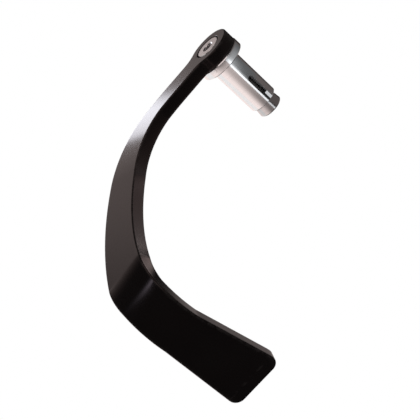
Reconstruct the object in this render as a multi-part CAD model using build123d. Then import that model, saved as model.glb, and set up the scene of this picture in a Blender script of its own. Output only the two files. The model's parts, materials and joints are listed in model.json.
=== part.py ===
from build123d import *
import os
from math import cos, degrees, radians, sin, tan

# Brake lever guard for the end of a 22 mm handlebar.
# Frame: origin on the plug's axis, at the collar face that stops on the end of the bar.
# +X runs inboard along the bar, -Y is forward and +Z is up. Millimetres and degrees.

# Blade: one aluminium plate, cut to a curved outline and then bent
BLADE_THICKNESS = 7.0
BLADE_EDGE_CHAMFER = 0.5
EYE_DIAMETER = 24.0
EYE_BLEND_RADIUS = 12.0  # where the eye runs into the neck
ARM_LEAN = 12.0          # the neck leaves the eye this far forward of straight down
SWEEP_RADIUS = 93.6      # curve of the arm, elbow and shank in the plate's own plane
BEND_SKEW = -9.8         # turn of the bend lines away from square across the blade
TIP_CORNER_RADIUS = 5.0
TIP_SIDE = 1.0           # straight side left before each tip corner

# Runs of the blade along its outer face, from the eye's centre to the tip
NECK_LENGTH = 27.3
ARM_LENGTH = 13.8
ELBOW_LENGTH = 39.4
SHANK_LENGTH = 55.7
HEEL_LENGTH = 16.6
CURL_LENGTH = 25.8
PADDLE_LENGTH = 50.0
ELBOW_ANGLE = 18.9
HEEL_ANGLE = 45.2
CURL_ANGLE = 37.7

# Width of the blade at the end of each run
ARM_WIDTH = 14.4
ELBOW_WIDTH = 20.6
SHANK_WIDTH = 25.6
HEEL_WIDTH = 23.4
CURL_WIDTH = 23.2
TIP_WIDTH = 30.4

# Bar-end plug: a turned collar and sleeve, slotted so that the sleeve can spread
COLLAR_DIAMETER = 24.6
COLLAR_LENGTH = 4.4
COLLAR_CHAMFER = 0.4
SLEEVE_DIAMETER = 15.5
SLEEVE_LENGTH = 29.5
SLEEVE_CHAMFER = 0.5
SLOT_WIDTH = 3.5
SLOT_START = 12.8
SLOT_ANGLE = 150.0       # place of the first slot round the axis, from +Y towards +Z

# Expander: a threaded cone that the bolt draws into the sleeve
CONE_DIAMETER = 13.6
CONE_HALF_ANGLE = 6.0
CONE_REACH = 5.8         # how far it stands out of the sleeve
CONE_DEPTH = 4.5         # how far it goes into the sleeve
CONE_END_CHAMFER = 0.6
KEY_WIDTH = 1.8
KEY_LENGTH = 4.3
KEY_SINK = 0.3           # top of a key below the sleeve's outside

# Clamp bolt: M8 with a low socket head
BOLT_DIAMETER = 8.0
BOLT_LENGTH = 40.0
BOLT_END_CHAMFER = 0.8
HEAD_DIAMETER = 13.0
HEAD_HEIGHT = 5.0
HEAD_CHAMFER = 0.4
SOCKET_ACROSS_FLATS = 5.0
SOCKET_DEPTH = 2.6
HEAD_RECESS = 0.1        # top of the head below the eye's face

# Clearances, on the radius or on one side
THREAD_CLEARANCE = 0.05
EYE_BORE_CLEARANCE = 0.05
PLUG_BORE_CLEARANCE = 0.4
COUNTERBORE_CLEARANCE = 0.6
TAPER_CLEARANCE = 0.35
KEY_CLEARANCE = 0.05

# Places along the axis
eye_inner_x = -COLLAR_LENGTH
eye_outer_x = eye_inner_x - BLADE_THICKNESS
head_top_x = eye_outer_x + HEAD_RECESS
head_seat_x = head_top_x + HEAD_HEIGHT
cone_nose_x = SLEEVE_LENGTH - CONE_DEPTH
cone_end_x = SLEEVE_LENGTH + CONE_REACH

bolt_radius = BOLT_DIAMETER / 2
cone_slope = tan(radians(CONE_HALF_ANGLE))
plug_bore_radius = bolt_radius + PLUG_BORE_CLEARANCE
tip_length = TIP_CORNER_RADIUS + TIP_SIDE
first_slot = Rot(SLOT_ANGLE - 90, 0, 0)  # turns local Z to point out through the first slot


def turned(*half_section):
    """A turned solid from the (x, radius) corners of its half section."""
    return revolve(make_face(Polyline(*half_section, close=True)), Axis.X)


def rod(radius, start_x, end_x):
    """A plain cylinder along the plug's axis."""
    return turned((start_x, 0), (start_x, radius), (end_x, radius), (end_x, 0))


def cone_radius(x):
    return CONE_DIAMETER / 2 - (cone_end_x - x) * cone_slope


# The blade follows its outer face's centre line. On each run its directions turn at a steady rate
# about one fixed axis, so that a run is part of a screw: a straight, an arc or a helix.
class Station:
    def __init__(self, point, along, across, outward, width):
        self.point = point
        self.along = along
        self.across = across
        self.outward = outward
        self.width = width

    def moved(self, distance, twist, width):
        """The station this far on, turning by the vector twist per millimetre."""
        if twist.length == 0:
            return Station(self.point + self.along * distance, self.along, self.across, self.outward, width)
        angle = twist.length * distance
        axis = Axis((0, 0, 0), twist)
        unit = twist.normalized()
        glide = unit * self.along.dot(unit)
        swing = self.along - glide
        arc = swing * sin(angle) + unit.cross(swing) * (1 - cos(angle))
        point = self.point + glide * distance + arc * (1 / twist.length)
        along, across, outward = [
            direction.rotate(axis, degrees(angle)) for direction in (self.along, self.across, self.outward)
        ]
        return Station(point, along, across, outward, width)

    def section(self):
        """The plate's cut at this station, with its edges broken."""
        middle = self.point - self.outward * (BLADE_THICKNESS / 2)
        cut = Rectangle(self.width, BLADE_THICKNESS)
        cut = chamfer(cut.vertices(), BLADE_EDGE_CHAMFER)
        return Plane(middle, x_dir=self.across, z_dir=self.along) * cut

    def face_plane(self):
        """The outer face here, with local X along the blade and local Z into the plate."""
        return Plane(self.point, x_dir=self.along, z_dir=-self.outward)


# Each run: length, whether it follows the sweep, bend, width at its end and sections in it
BLADE_RUNS = [
    (ARM_LENGTH, True, 0.0, ARM_WIDTH, 3),
    (ELBOW_LENGTH, True, ELBOW_ANGLE, ELBOW_WIDTH, 5),
    (SHANK_LENGTH, True, 0.0, SHANK_WIDTH, 6),
    (HEEL_LENGTH, False, HEEL_ANGLE, HEEL_WIDTH, 6),
    (CURL_LENGTH, False, CURL_ANGLE, CURL_WIDTH, 5),
    (PADDLE_LENGTH - tip_length, False, 0.0, TIP_WIDTH, 1),
]


def blade_runs():
    """The stations of each run. A run starts from the last station of the one before it."""
    lean = radians(ARM_LEAN)
    skew = radians(BEND_SKEW)
    along = Vector(0, -sin(lean), -cos(lean))
    across = Vector(0, -cos(lean), sin(lean))
    neck_end = Vector(eye_outer_x, 0, 0) + along * NECK_LENGTH
    start = Station(neck_end, along, across, Vector(-1, 0, 0), ARM_WIDTH)
    runs = []
    for length, swept, bend, end_width, sections in BLADE_RUNS:
        bend_line = start.across * cos(skew) + start.along * sin(skew)
        twist = bend_line * (radians(bend) / length)
        if swept:
            twist = twist + start.outward * (1 / SWEEP_RADIUS)
        run = [start]
        for number in range(1, sections + 1):
            share = number / sections
            width = start.width + (end_width - start.width) * share
            run.append(start.moved(length * share, twist, width))
        runs.append(run)
        start = run[-1]
    return runs


def flat_plate(outline, joint_x):
    """A flat stretch of the plate with a broken rim, left square at x = joint_x for the next run."""
    plate = extrude(outline, BLADE_THICKNESS)
    rim = [
        edge for edge in plate.edges()
        if abs(edge.tangent_at(0.5).Z) < 0.5 and abs(edge.center().X - joint_x) > BLADE_EDGE_CHAMFER / 2
    ]
    return chamfer(rim, BLADE_EDGE_CHAMFER)


def make_eye_and_neck():
    neck = Pos(NECK_LENGTH / 2, 0) * Rectangle(NECK_LENGTH, ARM_WIDTH)
    outline = Circle(EYE_DIAMETER / 2) + neck
    inner_corners = outline.vertices().sort_by(Axis.X)[:2]
    return flat_plate(fillet(inner_corners, EYE_BLEND_RADIUS), NECK_LENGTH)


def make_tip():
    outline = Pos(tip_length / 2, 0) * Rectangle(tip_length, TIP_WIDTH)
    tip_corners = outline.vertices().sort_by(Axis.X)[-2:]
    return flat_plate(fillet(tip_corners, TIP_CORNER_RADIUS), 0)


def make_guard_blade():
    runs = blade_runs()
    neck_end, paddle_end = runs[0][0], runs[-1][-1]
    eye_plane = Plane((eye_outer_x, 0, 0), x_dir=neck_end.along, z_dir=(1, 0, 0))
    blade = eye_plane * make_eye_and_neck()
    for run in runs:
        blade += loft([station.section() for station in run])
    blade += paddle_end.face_plane() * make_tip()
    blade -= rod(bolt_radius + EYE_BORE_CLEARANCE, eye_outer_x, eye_inner_x)
    blade -= rod(HEAD_DIAMETER / 2 + COUNTERBORE_CLEARANCE, eye_outer_x, head_seat_x)
    return blade


def make_bar_end_plug():
    collar_radius = COLLAR_DIAMETER / 2
    sleeve_radius = SLEEVE_DIAMETER / 2
    mouth_radius = cone_radius(SLEEVE_LENGTH) + TAPER_CLEARANCE
    taper_end_x = SLEEVE_LENGTH - (mouth_radius - plug_bore_radius) / cone_slope
    plug = turned(
        (eye_inner_x, plug_bore_radius),
        (eye_inner_x, collar_radius - COLLAR_CHAMFER),
        (eye_inner_x + COLLAR_CHAMFER, collar_radius),
        (-COLLAR_CHAMFER, collar_radius),
        (0, collar_radius - COLLAR_CHAMFER),
        (0, sleeve_radius),
        (SLEEVE_LENGTH - SLEEVE_CHAMFER, sleeve_radius),
        (SLEEVE_LENGTH, sleeve_radius - SLEEVE_CHAMFER),
        (SLEEVE_LENGTH, mouth_radius),
        (taper_end_x, plug_bore_radius),
    )
    # one cutter through the axis opens both slots, each with a round inner end
    round_end_x = SLOT_START + SLOT_WIDTH / 2
    open_length = SLEEVE_LENGTH - round_end_x
    cutter = Pos(round_end_x, 0) * Circle(SLOT_WIDTH / 2)
    cutter += Pos(round_end_x + open_length / 2, 0) * Rectangle(open_length, SLOT_WIDTH)
    return first_slot * (plug - extrude(cutter, sleeve_radius, both=True))


def make_expander_cone():
    end_radius = CONE_DIAMETER / 2
    thread_radius = bolt_radius + THREAD_CLEARANCE
    cone = turned(
        (cone_nose_x, thread_radius),
        (cone_nose_x, cone_radius(cone_nose_x)),
        (cone_end_x - CONE_END_CHAMFER, cone_radius(cone_end_x - CONE_END_CHAMFER)),
        (cone_end_x, end_radius - CONE_END_CHAMFER),
        (cone_end_x, thread_radius),
    )
    # a key in each slot lies against the wall that holds it when the bolt is slackened
    key_radius = SLEEVE_DIAMETER / 2 - KEY_SINK
    key_y = SLOT_WIDTH / 2 - KEY_CLEARANCE - KEY_WIDTH / 2
    key_x = SLEEVE_LENGTH - KEY_LENGTH / 2
    key_space = rod(key_radius, cone_nose_x, SLEEVE_LENGTH) - rod(thread_radius, cone_nose_x, SLEEVE_LENGTH)
    key = extrude(Pos(key_x, key_y) * Rectangle(KEY_LENGTH, KEY_WIDTH), key_radius)
    for half_turn in (0, 180):
        cone += (Rot(half_turn, 0, 0) * key) & key_space
    return first_slot * cone


def make_clamp_bolt():
    head_radius = HEAD_DIAMETER / 2
    bolt_end_x = head_seat_x + BOLT_LENGTH
    bolt = turned(
        (head_top_x, 0),
        (head_top_x, head_radius - HEAD_CHAMFER),
        (head_top_x + HEAD_CHAMFER, head_radius),
        (head_seat_x, head_radius),
        (head_seat_x, bolt_radius),
        (bolt_end_x - BOLT_END_CHAMFER, bolt_radius),
        (bolt_end_x, bolt_radius - BOLT_END_CHAMFER),
        (bolt_end_x, 0),
    )
    socket_plane = Plane((head_top_x, 0, 0), x_dir=(0, 1, 0), z_dir=(1, 0, 0))
    hexagon = RegularPolygon(SOCKET_ACROSS_FLATS / 2, 6, major_radius=False)
    return bolt - extrude(socket_plane * hexagon, SOCKET_DEPTH)


PARTS = {
    "guard_blade": make_guard_blade,
    "bar_end_plug": make_bar_end_plug,
    "expander_cone": make_expander_cone,
    "clamp_bolt": make_clamp_bolt,
}

os.makedirs("parts", exist_ok=True)
for name, make in PARTS.items():
    export_step(make(), f"parts/{name}.step")
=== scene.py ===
# %% [markdown]
# A brake lever guard stands in front of the brake lever on a motorbike's handlebar. A black blade
# hangs from an eye at the end of the bar, and a slotted metal plug behind the eye goes into the bar.
# The measured solids are loaded first, as a frame that never moves. Each visible piece is then made
# again as a smooth surface worked out with numpy, so that edges are round and highlights run clean.

# %% Load the measured frame
import json
import math

import bmesh
import bpy
import numpy as np
from mathutils import Matrix

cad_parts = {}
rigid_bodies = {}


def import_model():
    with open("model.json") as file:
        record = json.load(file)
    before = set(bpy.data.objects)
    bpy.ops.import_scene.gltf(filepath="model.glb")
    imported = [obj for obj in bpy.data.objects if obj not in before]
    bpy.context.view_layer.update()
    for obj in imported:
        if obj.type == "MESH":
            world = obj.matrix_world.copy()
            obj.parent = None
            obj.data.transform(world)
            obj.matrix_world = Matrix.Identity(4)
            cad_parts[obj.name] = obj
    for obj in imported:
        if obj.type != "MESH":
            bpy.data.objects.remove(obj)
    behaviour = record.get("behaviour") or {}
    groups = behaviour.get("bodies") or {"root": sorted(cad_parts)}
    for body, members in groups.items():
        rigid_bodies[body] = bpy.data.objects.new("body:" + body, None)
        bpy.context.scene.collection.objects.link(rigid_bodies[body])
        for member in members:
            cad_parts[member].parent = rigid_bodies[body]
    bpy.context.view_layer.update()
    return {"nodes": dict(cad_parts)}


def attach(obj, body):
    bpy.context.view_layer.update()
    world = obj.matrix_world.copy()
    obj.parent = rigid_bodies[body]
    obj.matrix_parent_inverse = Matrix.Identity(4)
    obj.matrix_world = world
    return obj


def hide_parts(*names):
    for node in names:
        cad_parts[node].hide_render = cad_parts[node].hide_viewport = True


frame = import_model()
MM = 0.001
print("measured nodes:", sorted(frame["nodes"]))

# %% [markdown]
# Every piece here is a patchwork of grids. A grid is an array of points with rows and columns, and
# four neighbours make a face. Where two grids meet they have the same points, so merging the doubles
# sews them into one closed skin. A number called "edge" rides on each point. It is 1 on a rounded or
# broken edge and 0 on a flat, and the finishes use it to show where hands and tools rub.


# %% Grids to a mesh
WELD_DISTANCE = 0.002 * MM


def grid_faces(rows, columns, first):
    """Corner numbers of the faces of a grid whose points are numbered row by row from first."""
    number = first + np.arange(rows * columns).reshape(rows, columns)
    corners = (number[:-1, :-1], number[1:, :-1], number[1:, 1:], number[:-1, 1:])
    return np.stack(corners, axis=-1).reshape(-1, 4)


def skin_piece(name, grids, sharp_degrees):
    """One object from (points, edge) grids: points is rows x columns x 3 and edge is rows x columns."""
    starts = np.cumsum([0] + [points.shape[0] * points.shape[1] for points, edge in grids])
    points = np.concatenate([points.reshape(-1, 3) for points, edge in grids])
    edges = np.concatenate([np.broadcast_to(edge, points.shape[:2]).ravel() for points, edge in grids])
    faces = np.concatenate([
        grid_faces(points.shape[0], points.shape[1], first)
        for (points, edge), first in zip(grids, starts)
    ])
    mesh = bpy.data.meshes.new(name)
    mesh.from_pydata(points, [], faces)
    mesh.attributes.new("edge", "FLOAT", "POINT").data.foreach_set("value", edges.astype(np.float32))
    sewing = bmesh.new()
    sewing.from_mesh(mesh)
    bmesh.ops.remove_doubles(sewing, verts=sewing.verts, dist=WELD_DISTANCE)
    bmesh.ops.recalc_face_normals(sewing, faces=sewing.faces)
    open_edges = sum(not edge.is_manifold for edge in sewing.edges)
    sewing.to_mesh(mesh)
    sewing.free()
    mesh.shade_smooth()
    mesh.set_sharp_from_angle(angle=math.radians(sharp_degrees))
    piece = bpy.data.objects.new(name, mesh)
    bpy.context.scene.collection.objects.link(piece)
    print(f"{name}: {len(mesh.vertices)} points, {len(mesh.polygons)} faces, {open_edges} open edges")
    return piece


# %% [markdown]
# The blade is one flat aluminium bar, cut to a sweeping outline, bent three times and anodised
# black. A designer would draw the centre line of its outer face and say how each stretch turns.
# On each stretch the plate's three directions turn at a steady rate about one fixed axis, so the
# line is a straight, an arc or a helix, and a short formula gives every station at once.

# %% Sizes of the blade
BLADE_THICKNESS = 7.0 * MM
EDGE_RADIUS = 0.7 * MM
EYE_FACE_X = -11.4 * MM
ARM_LEAN = math.radians(12.0)
BEND_SKEW = math.radians(-9.8)
SWEEP_RADIUS = 93.6 * MM
NECK_LENGTH = 27.3 * MM
ARM_WIDTH = 14.4 * MM
TIP_LENGTH = 6.0 * MM

# length, sweep (1 or 0), bend in degrees, width at the end and number of steps
BLADE_RUNS = {
    "arm": (13.8 * MM, 1, 0.0, ARM_WIDTH, 10),
    "elbow": (39.4 * MM, 1, 18.9, 20.6 * MM, 30),
    "shank": (55.7 * MM, 1, 0.0, 25.6 * MM, 36),
    "heel": (16.6 * MM, 0, 45.2, 23.4 * MM, 28),
    "curl": (25.8 * MM, 0, 37.7, 23.2 * MM, 28),
    "paddle": (50.0 * MM - TIP_LENGTH, 0, 0.0, 30.4 * MM, 24),
}
runs_length = sum(run[0] for run in BLADE_RUNS.values())
print("the bent runs are", round(runs_length / MM, 1), "mm long in all")


# %% Stations along the blade
def swung(direction, axis, angles):
    """A direction turned about a unit axis by each angle: its part along the axis stays,
    and the rest goes round as cosine times itself plus sine times axis cross direction."""
    kept = axis * (axis @ direction)
    rest = direction - kept
    cosine, sine = np.cos(angles)[:, None], np.sin(angles)[:, None]
    return kept + rest * cosine + np.cross(axis, rest) * sine


def run_stations(start, length, twist, end_width, steps):
    """Stations of one run. The travel is the integral of the turning direction: a glide along
    the axis plus (swing sin a + axis x swing (1 - cos a)) / rate."""
    point, along, across, outward, width = start
    distance = np.linspace(0, length, steps + 1)
    rate = max(np.linalg.norm(twist), 1e-6)
    axis = twist / rate
    angles = rate * distance
    glide = axis * (axis @ along)
    swing = along - glide
    arc = swing * np.sin(angles)[:, None] + np.cross(axis, swing) * (1 - np.cos(angles))[:, None]
    points = point + glide * distance[:, None] + arc / rate
    directions = [swung(direction, axis, angles) for direction in (along, across, outward)]
    return points, *directions, width + (end_width - width) * distance / length


neck_along = np.array([0, -math.sin(ARM_LEAN), -math.cos(ARM_LEAN)])
neck_across = np.array([0, -math.cos(ARM_LEAN), math.sin(ARM_LEAN)])
eye_outward = np.array([-1.0, 0, 0])
eye_centre = np.array([EYE_FACE_X, 0, 0])
station = (eye_centre + neck_along * NECK_LENGTH, neck_along, neck_across, eye_outward, ARM_WIDTH)
run_parts = []
for run_name, (length, sweep, bend, end_width, steps) in BLADE_RUNS.items():
    point, along, across, outward, width = station
    bend_line = across * math.cos(BEND_SKEW) + along * math.sin(BEND_SKEW)
    twist = bend_line * math.radians(bend) / length + outward * sweep / SWEEP_RADIUS
    part = run_stations(station, length, twist, end_width, steps)
    station = tuple(values[-1] for values in part)
    run_parts.append([values if not run_parts else values[1:] for values in part])
    print(run_name, "ends at", np.round(station[0] / MM, 1), "mm")
spine, spine_along, spine_across, spine_outward, spine_width = [
    np.concatenate(values) for values in zip(*run_parts)
]

# %% [markdown]
# The plate's section is a rectangle with round edges. Its rim, from the outer face round one edge,
# down the side and round the other edge, is used three times: along the blade, round the eye and
# round the tip. So the rim is worked out once, as two short lists: how far out each point lies from
# the outline, and how deep it lies below the outer face.

# %% Section of the plate
RIM_STEPS = 6
SIDE_STEPS = 6
FACE_STEPS = 20

quarter = np.linspace(0, math.pi / 2, RIM_STEPS + 1)
side_depth = np.linspace(EDGE_RADIUS, BLADE_THICKNESS - EDGE_RADIUS, SIDE_STEPS + 1)[1:-1]
rim_out = np.concatenate([
    EDGE_RADIUS * (np.sin(quarter) - 1),
    np.zeros(SIDE_STEPS - 1),
    EDGE_RADIUS * (np.cos(quarter) - 1),
])
rim_depth = np.concatenate([
    EDGE_RADIUS * (1 - np.cos(quarter)),
    side_depth,
    BLADE_THICKNESS - EDGE_RADIUS * (1 - np.sin(quarter)),
])
rim_edge = np.concatenate([np.ones(RIM_STEPS + 1), np.zeros(SIDE_STEPS - 1), np.ones(RIM_STEPS + 1)])
face_share = np.linspace(-1, 1, FACE_STEPS + 1)
face_edge = (np.abs(face_share) == 1).astype(float)


def blade_ring(width):
    """Across and depth of each point round the section, for every station's width."""
    half = width[:, None] / 2
    face = face_share * (half - EDGE_RADIUS)
    side = half + rim_out
    across = np.concatenate([face, side[:, 1:], -face[:, 1:], -side[:, ::-1][:, 1:]], axis=1)
    depth = np.concatenate([
        0 * face_share, rim_depth[1:], BLADE_THICKNESS + 0 * face_share[1:], rim_depth[::-1][1:],
    ])
    edge = np.concatenate([face_edge, rim_edge[1:], face_edge[1:], rim_edge[1:]])
    return across, depth, edge


ring_across, ring_depth, ring_edge = blade_ring(spine_width)
blade_body = (
    spine[:, None] + spine_across[:, None] * ring_across[..., None]
    - spine_outward[:, None] * ring_depth[:, None]
)
blade_grids = [(blade_body, np.broadcast_to(ring_edge, blade_body.shape[:2]))]
print("blade body:", blade_body.shape[0], "sections of", blade_body.shape[1], "points")

# %% [markdown]
# The eye and the tip are flat ends of the same plate. Each has an outline with its outward normals.
# The rim is carried along the outline, and each face is filled between the outline and a loop inside
# it: the bolt hole in the eye, or one middle point in the tip. The eye runs into the neck on round
# fillets, and the place where a fillet touches follows from the two radii.


# %% Flat ends of the blade
def plate_points(origin, along, across, outward, x, y, depth):
    """Points from plate coordinates: x along, y across and depth below the outer face."""
    x, y, depth = np.broadcast_arrays(x, y, depth)
    return origin + x[..., None] * along + y[..., None] * across - depth[..., None] * outward


def arc_of_normals(centre, radius, start_degrees, end_degrees, steps):
    """Points centre + radius x normal, and the normals, as the normal turns between two angles."""
    angle = np.radians(np.linspace(start_degrees, end_degrees, steps + 1))
    normals = np.stack([np.cos(angle), np.sin(angle)], axis=1)
    return np.asarray(centre) + radius * normals, normals


def straight(start, end, steps):
    """Points evenly spaced from start to end."""
    start, end = np.asarray(start), np.asarray(end)
    return start + np.linspace(0, 1, steps + 1)[:, None] * (end - start)


def mirrored(points, normals):
    """The half outline followed by its mirror image across the centre line."""
    flip = np.array([1, -1])
    return [np.concatenate([half, half[-2::-1] * flip]) for half in (points, normals)]


def rim_grid(plane, outline, normals):
    """The plate's rim carried along an outline: outline + out x normal, at each depth."""
    swept = outline[:, None] + normals[:, None] * rim_out[:, None]
    points = plate_points(*plane, swept[..., 0], swept[..., 1], rim_depth)
    return points, np.broadcast_to(rim_edge, points.shape[:2])


def filled_face(outer_loop, inner_loop, steps):
    """The straight mix of an outer loop and an inner loop: (1 - share) outer + share inner."""
    share = np.linspace(0, 1, steps + 1)[:, None, None]
    edge = np.zeros((steps + 1, len(outer_loop)))
    edge[0] = 1
    return outer_loop * (1 - share) + inner_loop * share, edge


# %% Outline of the eye and neck
EYE_RADIUS = 12.0 * MM
EYE_BLEND_RADIUS = 12.0 * MM
NECK_STEPS = 10
BLEND_STEPS = 14
EYE_STEPS = 40
half_neck = ARM_WIDTH / 2
blend_x = math.sqrt((EYE_RADIUS + EYE_BLEND_RADIUS) ** 2 - (half_neck + EYE_BLEND_RADIUS) ** 2)
touch_degrees = math.degrees(math.atan2(half_neck + EYE_BLEND_RADIUS, blend_x))

neck_side = straight((NECK_LENGTH, half_neck), (blend_x, half_neck), NECK_STEPS)
blend_arc, blend_normals = arc_of_normals(
    (blend_x, half_neck + EYE_BLEND_RADIUS), -EYE_BLEND_RADIUS, 90, touch_degrees, BLEND_STEPS)
eye_arc, eye_normals = arc_of_normals((0, 0), EYE_RADIUS, touch_degrees, 180, EYE_STEPS)
eye_outline, eye_outline_normals = mirrored(
    np.concatenate([neck_side, blend_arc[1:], eye_arc[1:]]),
    np.concatenate([np.tile([0.0, 1.0], (len(neck_side), 1)), blend_normals[1:], eye_normals[1:]]),
)
eye_plane = (eye_centre, neck_along, neck_across, eye_outward)
print("the eye's arc starts", round(touch_degrees, 1), "degrees from the neck")

# %% Bolt hole through the eye
COUNTERBORE_RADIUS = 7.1 * MM
SEAT_DEPTH = 5.1 * MM
BOLT_HOLE_RADIUS = 4.05 * MM
MOUTH_BREAK = 0.25 * MM
EYE_FACE_STEPS = 8
mouth = np.linspace(0, math.pi / 2, 5)
hole_radius = np.concatenate([
    COUNTERBORE_RADIUS + MOUTH_BREAK * (1 - np.sin(mouth)),
    np.repeat(COUNTERBORE_RADIUS, 4),
    np.linspace(COUNTERBORE_RADIUS, BOLT_HOLE_RADIUS, 5)[1:],
    [BOLT_HOLE_RADIUS, BOLT_HOLE_RADIUS, BOLT_HOLE_RADIUS + MOUTH_BREAK],
])
hole_depth = np.concatenate([
    MOUTH_BREAK * (1 - np.cos(mouth)),
    np.linspace(MOUTH_BREAK, SEAT_DEPTH, 5)[1:],
    np.repeat(SEAT_DEPTH, 4),
    [SEAT_DEPTH + MOUTH_BREAK, BLADE_THICKNESS - MOUTH_BREAK, BLADE_THICKNESS],
])
hole_edge = np.zeros(len(hole_depth))
hole_edge[:len(mouth)] = 1
hole_edge[-1] = 1

neck_end_y = face_share[1:-1] * (half_neck - EDGE_RADIUS)
neck_end = np.stack([np.full_like(neck_end_y, NECK_LENGTH), neck_end_y], axis=1)
face_loop = np.concatenate([eye_outline - EDGE_RADIUS * eye_outline_normals, neck_end])
face_loop = np.concatenate([face_loop, face_loop[:1]])
loop_angle = np.arctan2(face_loop[:, 1], face_loop[:, 0])
loop_ray = np.stack([np.cos(loop_angle), np.sin(loop_angle)], axis=1)
hole_xy = loop_ray * hole_radius[:, None, None]
hole_grid = plate_points(*eye_plane, hole_xy[..., 0], hole_xy[..., 1], hole_depth[:, None])
eye_faces = [
    filled_face(
        plate_points(*eye_plane, face_loop[:, 0], face_loop[:, 1], depth), ring, EYE_FACE_STEPS)
    for depth, ring in ((0.0, hole_grid[0]), (BLADE_THICKNESS, hole_grid[-1]))
]
blade_grids += [rim_grid(eye_plane, eye_outline, eye_outline_normals), *eye_faces]
blade_grids.append((hole_grid, np.broadcast_to(hole_edge[:, None], hole_grid.shape[:2])))
print("the bolt hole has", len(hole_radius), "rings and a seat", round(SEAT_DEPTH / MM, 1), "mm deep")

# %% Tip of the paddle
TIP_CORNER_RADIUS = 5.0 * MM
CORNER_STEPS = 16
END_STEPS = 8
TIP_FACE_STEPS = 5
BLADE_SHARP_DEGREES = 50
tip_side = TIP_LENGTH - TIP_CORNER_RADIUS
half_tip = spine_width[-1] / 2
corner_centre = (tip_side, half_tip - TIP_CORNER_RADIUS)
corner_arc, corner_normals = arc_of_normals(corner_centre, TIP_CORNER_RADIUS, 90, 0, CORNER_STEPS)
end_line = straight(corner_arc[-1], (TIP_LENGTH, 0), END_STEPS)
tip_outline, tip_normals = mirrored(
    np.concatenate([[[0, half_tip]], corner_arc, end_line[1:]]),
    np.concatenate([[[0.0, 1.0]], corner_normals, np.tile([1.0, 0.0], (END_STEPS, 1))]),
)
tip_plane = (spine[-1], spine_along[-1], spine_across[-1], spine_outward[-1])
base_y = face_share[1:-1] * (half_tip - EDGE_RADIUS)
base_line = np.stack([np.zeros_like(base_y), base_y], axis=1)
tip_loop = np.concatenate([tip_outline - EDGE_RADIUS * tip_normals, base_line])
tip_loop = np.concatenate([tip_loop, tip_loop[:1]])
blade_grids.append(rim_grid(tip_plane, tip_outline, tip_normals))
for depth in (0.0, BLADE_THICKNESS):
    loop = plate_points(*tip_plane, tip_loop[:, 0], tip_loop[:, 1], depth)
    middle = plate_points(*tip_plane, np.array([TIP_LENGTH / 2]), 0.0, depth)
    blade_grids.append(filled_face(loop, middle, TIP_FACE_STEPS))

blade = skin_piece("guard_blade_skin", blade_grids, BLADE_SHARP_DEGREES)
blade.modifiers.new("flat_faces_stay_flat", "WEIGHTED_NORMAL").keep_sharp = True
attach(blade, "guard")
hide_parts("guard_blade")

# %% [markdown]
# The plug is one bar of aluminium on a lathe: a collar that stops on the end of the handlebar and a
# sleeve that goes inside it. A slitting cutter then opens two slots, so that the sleeve's end can
# spread. Turned surfaces are a radius for each place along the axis, carried round a circle. In the
# slotted stretch the circle is two arcs, and each arc ends where the slot's wall cuts it.


# %% Turned surfaces
def ring_points(x, radius, angle):
    """Points round the plug's axis, with the angle measured from +Y towards +Z."""
    x, radius, angle = np.broadcast_arrays(x, radius, angle)
    return np.stack([x, radius * np.cos(angle), radius * np.sin(angle)], axis=-1)


def turned_grid(x, radius, angle, edge=0.0):
    """A profile of x and radius carried round the axis."""
    points = ring_points(np.asarray(x)[:, None], np.asarray(radius)[:, None], angle)
    return points, np.broadcast_to(np.asarray(edge, float).reshape(-1, 1), points.shape[:2])


# %% Collar and the whole part of the sleeve
COLLAR_RADIUS = 12.3 * MM
COLLAR_FACE_X = -4.4 * MM
COLLAR_BREAK = 0.4 * MM
SLEEVE_RADIUS = 7.75 * MM
SLEEVE_LENGTH = 29.5 * MM
SLEEVE_BREAK = 0.5 * MM
PLUG_BORE_RADIUS = 4.4 * MM
TAPER_START_X = 9.14 * MM
MOUTH_RADIUS = 6.54 * MM
SLOT_WIDTH = 3.5 * MM
SLOT_START_X = 12.8 * MM
SLOT_ANGLE = math.radians(150.0)
ARC_STEPS = 64


def bore_radius(x):
    """The plug's bore: straight, then opening evenly to the mouth."""
    return np.interp(x, [TAPER_START_X, SLEEVE_LENGTH], [PLUG_BORE_RADIUS, MOUTH_RADIUS])


half_turn = np.linspace(0, math.pi, ARC_STEPS + 1)
full_turn = SLOT_ANGLE + np.concatenate([half_turn, math.pi + half_turn[1:]])
plug_grids = [
    turned_grid(
        [COLLAR_FACE_X, COLLAR_FACE_X, COLLAR_FACE_X + COLLAR_BREAK,
         -COLLAR_BREAK, 0, 0, SLOT_START_X],
        [PLUG_BORE_RADIUS, COLLAR_RADIUS - COLLAR_BREAK, COLLAR_RADIUS, COLLAR_RADIUS,
         COLLAR_RADIUS - COLLAR_BREAK, SLEEVE_RADIUS, SLEEVE_RADIUS],
        full_turn, [0, 1, 1, 1, 1, 0, 0]),
    turned_grid(
        [COLLAR_FACE_X, TAPER_START_X, SLOT_START_X],
        [PLUG_BORE_RADIUS, PLUG_BORE_RADIUS, bore_radius(SLOT_START_X)], full_turn),
]
print("the collar and the whole part of the sleeve have", len(full_turn) - 1, "points round")

# %% Slotted end of the sleeve
WALL_STEPS = 4
slot_round = np.linspace(0, math.pi / 2, 11)
round_end_x = SLOT_START_X + SLOT_WIDTH / 2
finger_x = np.concatenate([
    round_end_x - SLOT_WIDTH / 2 * np.cos(slot_round),
    np.linspace(round_end_x, SLEEVE_LENGTH - SLEEVE_BREAK, 12)[1:], [SLEEVE_LENGTH],
])
finger_half_slot = np.full(len(finger_x), SLOT_WIDTH / 2)
finger_half_slot[:len(slot_round)] *= np.sin(slot_round)
finger_outer = np.full(len(finger_x), SLEEVE_RADIUS)
finger_outer[-1] -= SLEEVE_BREAK


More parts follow.
